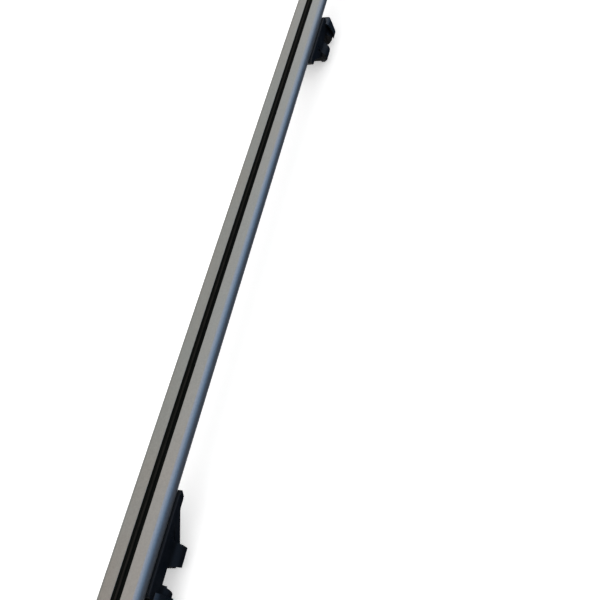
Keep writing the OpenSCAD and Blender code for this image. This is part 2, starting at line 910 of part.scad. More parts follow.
// What would pass through the jaw while the cover turns
module cover_trim() {
    difference() {
        translate([cover_rim - over, -belly_w, 0]) cube([pin_u - cover_rim + over, 2 * belly_w, pin_h]);
        translate([pin_u, 0, pin_h]) rod_y(-belly_w, belly_w, barrel_d / 2);
    }
}

// Room for the jaw's lugs inside the cover
module lug_room() {
    both_sides()
    translate([pin_u, 0, pin_h]) {
        rod_y(lug_in - slide_clear, pin_half + turn_clear, barrel_d / 2 + turn_clear);
        translate([-pin_u, lug_in - slide_clear, -barrel_d / 2 - turn_clear])
            cube([pin_u, lug_t + slide_clear + turn_clear, barrel_d + 2 * turn_clear]);
    }
}

module cover() {
    color([0.08, 0.08, 0.09])
    difference() {
        union() {
            difference() {
                cover_form();
                cover_hollow();
            }
            translate([pin_u, 0, pin_h]) rod_y(-lug_in + slide_clear, lug_in - slide_clear, barrel_d / 2);
            intersection() {
                translate([0, 0, lock_h]) rod_x(sleeve_back + boss_back, cover_face, sleeve_r + boss_wall);
                cover_form();
            }
        }
        jaw_room();
        cover_trim();
        lug_room();
        translate([pin_u, 0, pin_h]) rod_y(-belly_w, belly_w, pin_d / 2 + shaft_clear);
        translate([0, 0, lock_h]) rod_x(0, cover_face + 2 * over, sleeve_r + shaft_clear);
    }
}

// The lock

module lock_sleeve() {
    color([0.50, 0.51, 0.53])
    translate([0, 0, lock_h])
    difference() {
        union() {
            rod_x(sleeve_back, lock_face, sleeve_r);
            rod_x(cover_face, lock_face, sleeve_r + flange_proud);
        }
        rod_x(sleeve_back - over, lock_face + over, lock_d / 2 + shaft_clear);
    }
}

// The key turns the barrel; its slot stands upright when the lock is open
module lock_barrel() {
    key_depth = 6;
    key_w = 1.4;
    key_h = 7;
    color([0.78, 0.78, 0.80])
    translate([0, 0, lock_h])
    difference() {
        union() {
            rod_x(sleeve_back, lock_face - barrel_back, lock_d / 2);
            rod_x(tongue_u, sleeve_back, stem_r);
        }
        translate([lock_face - key_depth, -key_w / 2, -key_h / 2]) cube([key_depth + over, key_w, key_h]);
        rod_x(tongue_u - over, tongue_u + screw_hold + over, fixing_r + shaft_clear);
    }
}

// The tongue points sideways when the lock is open
module lock_tongue() {
    color([0.70, 0.71, 0.72])
    translate([0, 0, lock_h])
    difference() {
        along_x(tongue_u, tongue_u + tongue_t) {
            circle(r = tongue_w / 2 + eye_over);
            translate([0, -tongue_w / 2]) square([tongue_length, tongue_w]);
        }
        rod_x(tongue_u - over, tongue_u + tongue_t + over, stem_r + shaft_clear);
    }
}

module tongue_screw() {
    color([0.66, 0.67, 0.69])
    translate([0, 0, lock_h])
    union() {
        rod_x(tongue_u - fixing_head_t, tongue_u, stem_r + fixing_head_over);
        rod_x(tongue_u, tongue_u + screw_hold, fixing_r);
    }
}

bar();
slot_strip();
rotate([0, 0, 180]) end_cap();  // left_end_cap
end_cap();  // right_end_cap

left_foot() foot_housing();  // left_foot_housing
left_foot() rail_pad();  // left_rail_pad
left_foot() clamp_plate();  // left_clamp_plate
left_foot() plate_screws();  // left_plate_screws
left_foot() captive_nut();  // left_captive_nut
left_foot() jaw();  // left_jaw
left_foot() jaw_pad();  // left_jaw_pad
left_foot() hinge_pin();  // left_hinge_pin
left_foot() washer();  // left_washer
left_foot() clamp_bolt();  // left_clamp_bolt
left_foot() cover();  // left_cover
left_foot() lock_sleeve();  // left_lock_sleeve
left_foot() lock_barrel();  // left_lock_barrel
left_foot() lock_tongue();  // left_lock_tongue
left_foot() tongue_screw();  // left_tongue_screw

right_foot() foot_housing();  // right_foot_housing
right_foot() rail_pad();  // right_rail_pad
right_foot() clamp_plate();  // right_clamp_plate
right_foot() plate_screws();  // right_plate_screws
right_foot() captive_nut();  // right_captive_nut
right_foot() jaw();  // right_jaw
right_foot() jaw_pad();  // right_jaw_pad
right_foot() hinge_pin();  // right_hinge_pin
right_foot() washer();  // right_washer
right_foot() clamp_bolt();  // right_clamp_bolt
right_foot() cover();  // right_cover
right_foot() lock_sleeve();  // right_lock_sleeve
right_foot() lock_barrel();  // right_lock_barrel
right_foot() lock_tongue();  // right_lock_tongue
right_foot() tongue_screw();  // right_tongue_screw
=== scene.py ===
# %% [markdown]
# # A roof rack crossbar in a small studio
#
# The bar is an aluminium extrusion with a rubber strip in its top slot. It stands on two
# moulded feet that clamp a raised roof rail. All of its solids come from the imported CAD
# model, in metres: X runs along the bar, Y across it and Z up from the feet's soles.
# This lesson dresses those solids. It gives each one a procedural finish, rounds the
# moulded edges, and makes the threaded bolts, whose threads the CAD model leaves out.

import math

import bmesh
import bpy
from mathutils import Matrix, Vector


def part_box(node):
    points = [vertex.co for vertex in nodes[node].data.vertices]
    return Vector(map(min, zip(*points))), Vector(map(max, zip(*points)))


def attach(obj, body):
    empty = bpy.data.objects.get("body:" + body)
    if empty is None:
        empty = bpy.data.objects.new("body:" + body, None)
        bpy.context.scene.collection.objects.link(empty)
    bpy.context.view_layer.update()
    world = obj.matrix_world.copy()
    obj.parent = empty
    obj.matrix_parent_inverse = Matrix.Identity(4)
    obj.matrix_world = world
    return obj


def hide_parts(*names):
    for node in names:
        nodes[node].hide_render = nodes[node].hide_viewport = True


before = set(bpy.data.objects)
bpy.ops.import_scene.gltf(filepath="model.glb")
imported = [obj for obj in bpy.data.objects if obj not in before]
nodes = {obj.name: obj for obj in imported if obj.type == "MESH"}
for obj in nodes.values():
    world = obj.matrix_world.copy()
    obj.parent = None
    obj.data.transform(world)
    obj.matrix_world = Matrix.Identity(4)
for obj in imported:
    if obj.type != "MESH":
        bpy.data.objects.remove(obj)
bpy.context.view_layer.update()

# %% [markdown]
# ## The camera
#
# A camera could be set by eye, but a long bar shows every degree of error, because its
# edges run to a vanishing point. These numbers were worked out from the edges of the bar:
# three directions that say which way the picture's right, its top and the view itself
# point, and the place of the lens. The matrix's columns are right, up and backwards,
# because a Blender camera looks along its own negative Z.

# %% Set the camera
VIEW_FROM = Vector((-0.5215, -0.3925, 0.748))
VIEW_RIGHT = Vector((0.2124, -0.9439, -0.2529))
VIEW_UP = Vector((0.8441, 0.0468, 0.5342))
VIEW_ALONG = Vector((0.4924, 0.3270, -0.8067))
LENS_MM, SENSOR_MM = 42, 36

lens = bpy.data.cameras.new("camera")
lens.lens, lens.sensor_width = LENS_MM, SENSOR_MM
camera = bpy.data.objects.new("camera", lens)
turn = Matrix((VIEW_RIGHT, VIEW_UP, -VIEW_ALONG)).transposed()
camera.matrix_world = Matrix.Translation(VIEW_FROM) @ turn.to_quaternion().to_matrix().to_4x4()
bpy.context.scene.collection.objects.link(camera)
bpy.context.scene.camera = camera
print("camera height:", round(camera.location.z, 3))

# %% [markdown]
# ## A small kit for finishes
#
# Each finish is a Principled shader with a few nodes before it. The nodes read the
# object's own coordinates, which are metres here, so a noise with a scale of 1000 has
# grains of about a millimetre, and the pattern stays on the piece when it moves. The
# `Finish` class below only saves typing: `add` makes a node, `link` joins two sockets,
# and `noise`, `span`, `sum`, `times` and `mix` make the nodes that every finish here needs.

# %% A finish and its nodes
class Finish:
    """A Principled material, with constants set on the shader's own sockets.

    Its name is also kept as its slot.
    """

    def __init__(self, name, colour, **constants):
        self.slot = name
        self.material = bpy.data.materials.new(name)
        self.material.use_nodes = True
        self.tree = self.material.node_tree
        self.shader = self.tree.nodes["Principled BSDF"]
        self.shader.inputs["Base Color"].default_value = (*colour, 1)
        for name, value in constants.items():
            socket = name.replace("_", " ").title().replace("Ior", "IOR")
            self.shader.inputs[socket].default_value = value
        self.place = self.tree.nodes.new("ShaderNodeTexCoord").outputs["Object"]

    def link(self, out, into):
        self.tree.links.new(out, into)

    def add(self, kind, **values):
        """A node. Values go to its inputs by name, or by number as i0, i1 and so on."""
        node = self.tree.nodes.new(kind)
        for name, value in values.items():
            by_number = name[0] == "i" and name[1:].isdigit()
            socket = node.inputs[int(name[1:]) if by_number else name]
            if isinstance(value, bpy.types.NodeSocket):
                self.link(value, socket)
            else:
                socket.default_value = value
        return node

    def noise(self, scale, stretch=(1, 1, 1), detail=4.0, roughness=0.55):
        """Noise from 0 to 1. Stretch multiplies the scale along each axis."""
        spread = self.add("ShaderNodeMapping", Vector=self.place, Scale=stretch)
        return self.add("ShaderNodeTexNoise", Vector=spread.outputs[0], Scale=scale,
                        Detail=detail, Roughness=roughness).outputs["Fac"]

    def span(self, value, low, high, to_low=0.0, to_high=1.0):
        """Maps low..high to to_low..to_high, held at both ends."""
        return self.add("ShaderNodeMapRange", i0=value, i1=low, i2=high,
                        i3=to_low, i4=to_high).outputs[0]

    def sum(self, a, b, kind="ADD"):
        """Two values added, or joined by another kind of Math node."""
        node = self.add("ShaderNodeMath", i0=a, i1=b)
        node.operation = kind
        return node.outputs[0]

    def times(self, a, b):
        """Two values multiplied."""
        return self.sum(a, b, "MULTIPLY")

    def mix(self, factor, a, b):
        """A colour from a to b."""
        node = self.tree.nodes.new("ShaderNodeMix")
        node.data_type = "RGBA"
        for index, value in ((0, factor), (6, a), (7, b)):
            if isinstance(value, bpy.types.NodeSocket):
                self.link(value, node.inputs[index])
            else:
                node.inputs[index].default_value = value if index == 0 else (*value, 1)
        return node.outputs[2]


print("kit ready")

# %% [markdown]
# ## Edges and fine relief
#
# Two things tell the eye that a surface is real: its relief, which a Bump node turns into
# shading, and its edges, which are never knife-sharp and polish first. A Bevel node
# gives a softened normal near an edge. Where that normal differs from the plain one there
# is an edge, so the same node also says where the wear goes.

# %% Helpers for wear and relief
EDGE_ROUND = 0.0004


def worn_edges(finish, width=EDGE_ROUND):
    """From 0 on open faces to 1 at edges, broken up so that the wear isn't even."""
    soft = finish.add("ShaderNodeBevel", Radius=width).outputs[0]
    plain = finish.tree.nodes.new("ShaderNodeNewGeometry").outputs["Normal"]
    match = finish.add("ShaderNodeVectorMath", i0=soft, i1=plain)
    match.operation = "DOT_PRODUCT"
    edge = finish.span(match.outputs["Value"], 1.0, 0.86)
    return finish.times(edge, finish.span(finish.noise(160), 0.35, 0.7, 0.25, 1.0))


def relief(finish, height, depth, strength=1.0, width=EDGE_ROUND):
    """Bump of a real depth in metres, on top of softened edges."""
    soft = finish.add("ShaderNodeBevel", Radius=width).outputs[0]
    bump = finish.add("ShaderNodeBump", Strength=strength, Distance=depth,
                      Height=height, Normal=soft)
    finish.link(bump.outputs[0], finish.shader.inputs["Normal"])


def dress(finish, *names):
    """Puts a finish on CAD nodes."""
    for name in names:
        slots = nodes[name].data.materials
        slots.clear()
        slots.append(finish.material)


def each_foot(*names):
    """The names of these pieces on the left and on the right foot."""
    return [f"{side}_{name}" for side in ("left", "right") for name in names]


print("edge radius in mm:", EDGE_ROUND * 1000)

# %% [markdown]
# ## Anodised aluminium
#
# The bar is pressed through a die, then etched and anodised. The die leaves very fine
# lines along the bar, the etching makes the metal satin, and loads rub faint marks across
# it. A brushed-metal shader could fake the lines with anisotropy alone. Here a noise that
# is stretched a few hundred times along X draws them, so they show from every side. The
# anodised film also varies a little in tint along the bar, and the etched metal has a
# grain of a millimetre or two, so three more noises mix in a warm tone, a cool tone and
# dark specks.

# %% The bar's finish
DIE_PALE, DIE_DARK = (0.385, 0.385, 0.368), (0.335, 0.335, 0.318)
FILM_WARM, FILM_COOL = (0.375, 0.350, 0.325), (0.340, 0.362, 0.358)
GRAIN_DARK, RUB_DARK, EDGE_PALE = (0.24, 0.24, 0.23), (0.26, 0.255, 0.24), (0.5, 0.5, 0.49)

aluminium = Finish("anodised_aluminium", (0.36, 0.36, 0.34), metallic=0.9)
die_lines = aluminium.noise(3.0, stretch=(1.5, 900, 900), detail=6)
clouds = aluminium.noise(14, detail=3)
rubs = aluminium.span(aluminium.noise(5.0, stretch=(140, 3, 3), detail=2), 0.66, 0.74)
rubs = aluminium.times(rubs, aluminium.span(aluminium.noise(60), 0.45, 0.65))
tone = aluminium.mix(aluminium.span(die_lines, 0.3, 0.7), DIE_DARK, DIE_PALE)
tint = aluminium.noise(5.0, stretch=(1, 3, 3), detail=3)
tone = aluminium.mix(aluminium.span(tint, 0.40, 0.62, 0.0, 0.6), tone, FILM_WARM)
tone = aluminium.mix(aluminium.span(clouds, 0.35, 0.75, 0.0, 0.4), tone, FILM_COOL)
speckle = aluminium.noise(520, detail=2)
tone = aluminium.mix(aluminium.span(speckle, 0.35, 0.7, 0.0, 0.34), tone, GRAIN_DARK)
tone = aluminium.mix(aluminium.times(rubs, 0.22), tone, RUB_DARK)
tone = aluminium.mix(aluminium.times(worn_edges(aluminium), 0.35), tone, EDGE_PALE)
aluminium.link(tone, aluminium.shader.inputs["Base Color"])
gloss = aluminium.span(die_lines, 0.3, 0.7, 0.30, 0.38)
gloss = aluminium.sum(gloss, aluminium.times(clouds, 0.06))
aluminium.link(gloss, aluminium.shader.inputs["Roughness"])
relief(aluminium, die_lines, 0.00001, strength=0.5)
dress(aluminium, "bar")
low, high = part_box("bar")
print("bar in mm:", [round(v * 1000, 1) for v in high - low])

# %% [markdown]
# ## The rubber strip
#
# The strip is matt extruded rubber. Its ridge is painted a little lighter and browner, partly
# as scuff marks where hands and loads touch it and partly as a painted highlight on the raised
# ridge. The height of a point says whether it is on the ridge.

# %% The strip's finish
STRIP_DARK, STRIP_DUSTY = (0.0015, 0.0022, 0.0013), (0.0036, 0.0042, 0.0032)
# The ridge's colour: scuff marks and a painted highlight.
STRIP_SCUFF_HIGHLIGHT = (0.013, 0.011, 0.0095)

strip = Finish("strip_rubber", (0.003, 0.0034, 0.0026), specular_ior_level=0.04)
ridge_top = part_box("slot_strip")[1].z
height = strip.add("ShaderNodeSeparateXYZ", Vector=strip.place).outputs["Z"]
on_ridge = strip.span(height, ridge_top - 0.0009, ridge_top - 0.0002)
dust = strip.noise(420, stretch=(0.25, 1, 1), detail=6)
# Scuff marks and a painted highlight: the ridge top is painted lighter in patches.
scuffs_and_highlight = strip.times(on_ridge, strip.span(dust, 0.35, 0.7, 0.35, 1.0))
tone = strip.mix(strip.span(dust, 0.4, 0.8, 0.0, 0.6), STRIP_DARK, STRIP_DUSTY)
tone = strip.mix(scuffs_and_highlight, tone, STRIP_SCUFF_HIGHLIGHT)
strip.link(tone, strip.shader.inputs["Base Color"])
strip.link(strip.span(dust, 0.3, 0.7, 0.62, 0.85), strip.shader.inputs["Roughness"])
relief(strip, strip.noise(2.0, stretch=(4, 1400, 1400), detail=5), 0.00003, width=0.0002)
dress(strip, "slot_strip")
print("ridge top in mm:", round(ridge_top * 1000, 2))

# %% [markdown]
# ## Moulded plastics
#
# The housing, the jaws, the covers and the end caps are moulded in black plastic. The
# tools are spark-eroded, which leaves a fine leather-like grain, coarser on the structural
# pieces than on the covers. Glass fibres in the plastic make faint clouds, and handling
# polishes the edges. One function makes all of them, with a few values each.

# %% The plastics
def moulded(name, colour, grain_scale, grain_depth, roughness, wear, shine=0.2):
    """Grained black plastic with faint clouds and edges polished by handling."""
    plastic = Finish(name, colour, specular_ior_level=shine)
    grain = plastic.noise(grain_scale, detail=3, roughness=0.6)
    clouds = plastic.noise(45, detail=4)
    darker = tuple(c * 0.75 for c in colour)
    lighter = tuple(c * 1.4 + 0.001 for c in colour)
    tone = plastic.mix(plastic.span(clouds, 0.35, 0.7), darker, lighter)
    edges = plastic.times(worn_edges(plastic), wear)
    tone = plastic.mix(edges, tone, tuple(c * 3 + 0.02 for c in colour))
    plastic.link(tone, plastic.shader.inputs["Base Color"])
    dulled = plastic.sum(plastic.span(grain, 0.3, 0.7, roughness - 0.05, roughness + 0.07),
                         plastic.times(clouds, 0.08))
    plastic.link(dulled, plastic.shader.inputs["Roughness"])
    relief(plastic, grain, grain_depth)
    return plastic


FOOT_BLACK, JAW_BLACK = (0.0030, 0.0034, 0.0042), (0.0030, 0.0034, 0.0041)
COVER_BLACK, CAP_BLACK = (0.0030, 0.0036, 0.0046), (0.0070, 0.0072, 0.0080)

foot_plastic = moulded("foot_plastic", FOOT_BLACK, 1500, 0.00005, 0.42, 0.25)
jaw_plastic = moulded("jaw_plastic", JAW_BLACK, 1500, 0.00005, 0.42, 0.25)
cover_plastic = moulded("cover_plastic", COVER_BLACK, 2600, 0.00002, 0.27, 0.2, shine=0.5)
cap_plastic = moulded("cap_plastic", CAP_BLACK, 1900, 0.00004, 0.38, 0.2)
dress(foot_plastic, *each_foot("foot_housing"))
dress(jaw_plastic, *each_foot("jaw"))
dress(cover_plastic, *each_foot("cover"))
dress(cap_plastic, "left_end_cap", "right_end_cap")
plastics = (foot_plastic, jaw_plastic, cover_plastic, cap_plastic)
print("plastics:", [plastic.slot for plastic in plastics])

# %% [markdown]
# ## Rubber pads
#
# The pads that grip the rail are softer and duller than the strip, with a fine dusty
# bloom in patches.

# %% The pads' finish
PAD_BLACK, PAD_BLOOM = (0.010, 0.010, 0.010), (0.030, 0.029, 0.027)

pad = Finish("pad_rubber", (0.014, 0.014, 0.014), specular_ior_level=0.3)
bloom = pad.noise(260, detail=7)
tone = pad.mix(pad.span(bloom, 0.45, 0.75, 0.0, 0.7), PAD_BLACK, PAD_BLOOM)
pad.link(tone, pad.shader.inputs["Base Color"])
pad.link(pad.span(bloom, 0.3, 0.7, 0.72, 0.92), pad.shader.inputs["Roughness"])
relief(pad, pad.noise(2200, detail=2), 0.00005)
dress(pad, *each_foot("rail_pad", "jaw_pad"))
print("pads:", each_foot("rail_pad", "jaw_pad"))

# %% [markdown]
# ## Metals of the clamp and the lock
#
# The nut, the plate and its screws are zinc plated, which gives a pale metal with soft
# blue and straw patches. The bolt, the washer and the hinge pin are bright steel with
# lathe lines, the lock's sleeve is dark die-cast metal and its barrel is plated.
# They share one function: a metal, two tones, and lines or patches in its roughness.

# %% The metals
STEEL_EDGE = 0.0002
STEEL_WORN = (0.8, 0.8, 0.79)


def metal(name, low, high, roughness, patch_scale, lines=(1, 1, 1), depth=0.00001):
    """Metal of two tones in patches, or in lines where the noise is stretched."""
    steel = Finish(name, high, metallic=1.0)
    patches = steel.noise(patch_scale, stretch=lines, detail=5)
    tone = steel.mix(steel.span(patches, 0.3, 0.7), low, high)
    tone = steel.mix(steel.times(worn_edges(steel, STEEL_EDGE), 0.4), tone, STEEL_WORN)
    steel.link(tone, steel.shader.inputs["Base Color"])
    dulled = steel.span(patches, 0.3, 0.7, roughness - 0.06, roughness + 0.08)
    steel.link(dulled, steel.shader.inputs["Roughness"])
    relief(steel, patches, depth, strength=0.6, width=STEEL_EDGE)
    return steel


ZINC_BLUE, ZINC_STRAW = (0.42, 0.44, 0.48), (0.60, 0.585, 0.53)
TURNED_DARK, TURNED_PALE = (0.48, 0.485, 0.50), (0.66, 0.66, 0.65)
CAST_DARK, CAST_PALE = (0.11, 0.115, 0.125), (0.19, 0.19, 0.195)
CHROME_DARK, CHROME_PALE = (0.60, 0.60, 0.61), (0.76, 0.76, 0.76)

zinc = metal("zinc_steel", ZINC_BLUE, ZINC_STRAW, 0.40, 420)
bright = metal("bright_steel", TURNED_DARK, TURNED_PALE, 0.26, 60, lines=(60, 1, 1))
cast = metal("dark_metal", CAST_DARK, CAST_PALE, 0.44, 900, depth=0.00003)
chrome = metal("lock_chrome", CHROME_DARK, CHROME_PALE, 0.16, 300)
dress(zinc, *each_foot("clamp_plate", "captive_nut", "lock_tongue"))
dress(bright, *each_foot("hinge_pin", "washer", "tongue_screw"))
dress(cast, *each_foot("lock_sleeve"))
dress(chrome, *each_foot("lock_barrel"))
print("metals:", [steel.slot for steel in (zinc, bright, cast, chrome)])

# %% [markdown]
# ## Screws and bolts with real threads
#
# A thread could be a bump, but its outline shows against the light, so it is geometry.
# The trick is to lay the rows of the mesh along the helix: each row keeps one radius,
# root or crest, and climbs by one pitch in a turn. At the seam a row then joins the row
# that lies one turn, four rows, further on. Rows that run past the ends are held at the
# end planes, which makes flat ends without any cutting. Each point of the profile below
# is a share of the pitch, and 0 for the root or 1 for the crest of the thread.

# %% A threaded shank
THREAD_STEPS = 32
THREAD_PROFILE = ((0.0, 0), (0.18, 0), (0.44, 1), (0.56, 1), (0.82, 0))


def threaded(bm, start, end, root, crest, pitch):
    """A closed threaded rod along +Z from start to end, as its own island of the mesh."""
    rows = len(THREAD_PROFILE) - 1
    turns = int((end - start) / pitch) + 3
    grid = []
    for row in range(turns * rows):
        share, high = THREAD_PROFILE[row % rows]
        base = start + (row // rows - 1.5 + share) * pitch
        line = []
        for step in range(THREAD_STEPS):
            z = base + pitch * step / THREAD_STEPS
            held = min(max(z, start), end)
            near_end = min(held - start, end - held) / pitch
            radius = root + (crest - root) * (high if near_end > 0.5 else 0)
            angle = 2 * math.pi * step / THREAD_STEPS
            line.append(bm.verts.new((radius * math.cos(angle), radius * math.sin(angle), held)))
        grid.append(line)
    for row in range(len(grid) - 1):
        low, high = grid[row], grid[row + 1]
        for step in range(THREAD_STEPS - 1):
            bm.faces.new((low[step], low[step + 1], high[step + 1], high[step]))
        if row + 1 + rows < len(grid):
            bm.faces.new((low[-1], grid[row + rows][0], grid[row + rows + 1][0], high[-1]))


print("rows in a pitch:", len(THREAD_PROFILE) - 1)

# %% [markdown]
# ## Heads with knurls and sockets
#
# The head of a socket bolt is a turned body, so it is a stack of rings. Each ring has its
# own radius function: constant for a turned face, a zigzag for the knurl, and the
# outline of a hexagon for the socket. All rings have the same number of points, so
# neighbours join with plain quads, and the socket needs no cutting either.

# %% A bolt head
HEAD_STEPS = 96


def round_ring(radius):
    """A plain circle."""
    return lambda angle, step: radius


def knurl_ring(radius, depth):
    """A circle with a groove at every other point."""
    return lambda angle, step: radius - depth * (step % 2)


def hex_ring(across_flats):
    """A hexagon, from the distance between two opposite sides."""
    sixth = math.pi / 3

    def radius(angle, step):
        from_flat = (angle + sixth / 2) % sixth - sixth / 2
        return across_flats / 2 / math.cos(from_flat)

    return radius


def stacked(bm, rings):
    """A closed body from rings (z, radius function), in an order that turns faces outwards."""
    lines = []
    for z, radius in rings:
        line = []
        for step in range(HEAD_STEPS):
            angle = 2 * math.pi * step / HEAD_STEPS
            r = radius(angle, step)
            line.append(bm.verts.new((r * math.cos(angle), r * math.sin(angle), z)))
        lines.append(line)
    for below, above in zip(lines, lines[1:]):
        for step in range(HEAD_STEPS):
            after = (step + 1) % HEAD_STEPS
            bm.faces.new((below[step], below[after], above[after], above[step]))
    bm.faces.new(lines[0][::-1])
    bm.faces.new(lines[-1])


print("points around a head:", HEAD_STEPS)

# %% [markdown]
# ## A whole socket bolt
#
# A real socket bolt has a knurled head with a chamfered top, and a small chamfer leads
# the key into its socket. The head's rings are listed below from its seat up over the
# rim and down into the socket. The shank is threaded from its tip, and plain for the rest.
# Its plain part reaches a little into the thread and the head, so that no gap can show.

# %% A bolt
HEAD_CHAMFER = 0.0006
SEAT_CHAMFER = 0.0003
KNURL_DEPTH = 0.00018
KNURL_START = 0.0008
KNURL_EASE = 0.0001
SOCKET_CHAMFER = 0.0003
SOCKET_FLARE = 0.0005
DRILL_POINT = 0.0008
THREAD_DEPTH = 0.61
THREAD_TUCK = 0.0004
SHANK_TUCK = 0.0002


def socket_head(bm, seat, top, radius, across_flats, socket_depth):
    """A knurled head that sits on z = seat, with a hexagon socket in its top."""
    knurl_top = top - HEAD_CHAMFER - 2 * KNURL_EASE
    stacked(bm, [
        (seat, round_ring(radius - SEAT_CHAMFER)),
        (seat + SEAT_CHAMFER, round_ring(radius)),
        (seat + KNURL_START - KNURL_EASE, round_ring(radius)),
        (seat + KNURL_START, knurl_ring(radius, KNURL_DEPTH)),
        (knurl_top, knurl_ring(radius, KNURL_DEPTH)),
        (top - HEAD_CHAMFER, round_ring(radius - KNURL_DEPTH)),
        (top, round_ring(radius - HEAD_CHAMFER)),
        (top, hex_ring(across_flats + SOCKET_FLARE)),
        (top - SOCKET_CHAMFER, hex_ring(across_flats)),
        (top - socket_depth, hex_ring(across_flats)),
        (top - socket_depth - DRILL_POINT, round_ring(across_flats * 0.1))])


def bolt_mesh(tip, seat, top, crest, thread_length, pitch, head_radius, across_flats, socket_depth):
    """A socket bolt along Z, tip lowest: threaded end, plain shank and head."""
    bm = bmesh.new()
    root = crest - THREAD_DEPTH * pitch
    thread_end = tip + thread_length
    threaded(bm, tip, thread_end, root, crest, pitch)
    if thread_end < seat:
        stacked(bm, [
            (thread_end - THREAD_TUCK, round_ring(root)),
            (thread_end + SHANK_TUCK, round_ring(crest)),
            (seat + SHANK_TUCK, round_ring(crest))])
    socket_head(bm, seat, top, head_radius, across_flats, socket_depth)
    bmesh.ops.remove_doubles(bm, verts=bm.verts, dist=1e-7)
    bmesh.ops.dissolve_degenerate(bm, edges=bm.edges, dist=1e-7)
    return bm


print("thread depth in mm:", THREAD_DEPTH, "for each mm of pitch")

# %% [markdown]
# ## Clamp bolts in their place
#
# A clamp bolt is an M6 bolt that lies along X with its head outboard. Its size comes from
# the box of the CAD solid that it stands for, so it always fills its solid. A replaced
# solid is hidden in the picture and stays in the physics model. Flat shading would show
# the facets of the turned faces, so faces are smooth and sharp edges are marked by angle.

# %% Clamp bolts
SHARP_ANGLE = math.radians(28)
CREST = 0.00298
BOLT_PITCH = 0.001
BOLT_THREAD = 0.030
HEAD_HEIGHT = 0.006
KEY_SIZE = 0.005
BOLT_SOCKET = 0.003


def piece_from(bm, name, body, finish, replaced, placing):
    """Turns a bmesh into a piece that rides on a body in place of a CAD node."""
    mesh = bpy.data.meshes.new(name)
    bmesh.ops.transform(bm, matrix=placing, verts=bm.verts)
    bm.to_mesh(mesh)
    bm.free()
    piece = bpy.data.objects.new(name, mesh)
    bpy.context.scene.collection.objects.link(piece)
    mesh.materials.append(finish.material)
    mesh.shade_smooth()
    mesh.set_sharp_from_angle(angle=SHARP_ANGLE)
    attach(piece, body)
    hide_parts(replaced)
    return piece


for side, outboard in (("left", -1), ("right", 1)):
    low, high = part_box(f"{side}_clamp_bolt")
    half, middle = (high.x - low.x) / 2, (low + high) / 2
    bm = bolt_mesh(-half, half - HEAD_HEIGHT, half, CREST, BOLT_THREAD, BOLT_PITCH,
                   (high.y - low.y) / 2, KEY_SIZE, BOLT_SOCKET)
    along = Matrix.Rotation(outboard * math.pi / 2, 4, "Y")
    bolt = piece_from(bm, f"{side}_socket_bolt", f"{side}_bolt", bright,
                      f"{side}_clamp_bolt", Matrix.Translation(middle) @ along)
    print(bolt.name, "faces:", len(bolt.data.polygons))

# %% [markdown]
# ## Screws of the clamping plate
#
# Each foot hangs on a plate in the bar's lower slot, by two short screws that stand
# upright with their heads below. One CAD node holds both, so both pieces replace it, and
# their sizes come from its box, which is as wide as one head.

# %% Plate screws
SCREW_HEAD = 0.004
SCREW_SOCKET = 0.0026
SCREW_BARE = 0.0001
SCREWS_APART = 0.020

for side in ("left", "right"):
    low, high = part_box(f"{side}_plate_screws")
    middle, length, head_width = (low + high) / 2, high.z - low.z, high.y - low.y
    for number, shift in ((1, -SCREWS_APART / 2), (2, SCREWS_APART / 2)):
        threaded_length = length - SCREW_HEAD - SCREW_BARE
        bm = bolt_mesh(-length, -SCREW_HEAD, 0.0, CREST, threaded_length, BOLT_PITCH,
                       head_width / 2, KEY_SIZE, SCREW_SOCKET)
        upright = Matrix.Rotation(math.pi, 4, "X")
        place = Matrix.Translation((middle.x + shift, middle.y, low.z))
        screw = piece_from(bm, f"{side}_plate_screw_{number}", f"{side}_foot", zinc,
                           f"{side}_plate_screws", place @ upright)
    print(screw.name, "faces:", len(screw.data.polygons))

# %% [markdown]
# ## Smooth curves on the moulded pieces
#
# The CAD model draws a moulded corner as a row of narrow flat faces. Shade Smooth would
# hide them, but it would also smear the crisp corners. So a small node group marks every
# face as smooth and every edge that bends by more than an angle as sharp. A Weighted
# Normal modifier then keeps the broad flat faces flat, and only the curves blend. These
# are modifiers, so the CAD meshes themselves stay as they are.

# %% Blend the facets of the moulded pieces
CREASE = math.radians(32)
SAME_POINT = 2e-6


def facet_blender():
    """A node group that shades smooth, apart from edges that bend by more than CREASE."""
    tree = bpy.data.node_groups.new("blend_facets", "GeometryNodeTree")
    for way in ("INPUT", "OUTPUT"):
        tree.interface.new_socket("Geometry", in_out=way, socket_type="NodeSocketGeometry")
    start, end = tree.nodes.new("NodeGroupInput"), tree.nodes.new("NodeGroupOutput")
    stored = tree.nodes.new("GeometryNodeRemoveAttribute")
    stored.inputs["Name"].default_value = "custom_normal"
    faces = tree.nodes.new("GeometryNodeSetShadeSmooth")
    creases = tree.nodes.new("GeometryNodeSetShadeSmooth")
    creases.domain = "EDGE"
    creases.inputs["Shade Smooth"].default_value = False
    bend = tree.nodes.new("GeometryNodeInputMeshEdgeAngle")
    sharp = tree.nodes.new("FunctionNodeCompare")
    sharp.operation = "GREATER_THAN"
    sharp.inputs[1].default_value = CREASE
    tree.links.new(bend.outputs["Unsigned Angle"], sharp.inputs[0])
    tree.links.new(sharp.outputs[0], creases.inputs["Selection"])
    for one, two in zip((start, stored, faces, creases), (stored, faces, creases, end)):
        tree.links.new(one.outputs[0], two.inputs[0])
    return tree


def weld(name):
    """Joins the faces of a CAD mesh, which are separate at their edges."""
    nodes[name].modifiers.new("weld", "WELD").merge_threshold = SAME_POINT


blend_facets = facet_blender()
curved = each_foot("foot_housing", "jaw", "cover") + ["left_end_cap", "right_end_cap"]
for name in curved:
    weld(name)
    nodes[name].modifiers.new("blend facets", "NODES").node_group = blend_facets
    nodes[name].modifiers.new("keep flats", "WEIGHTED_NORMAL").keep_sharp = True
print("blended:", curved)

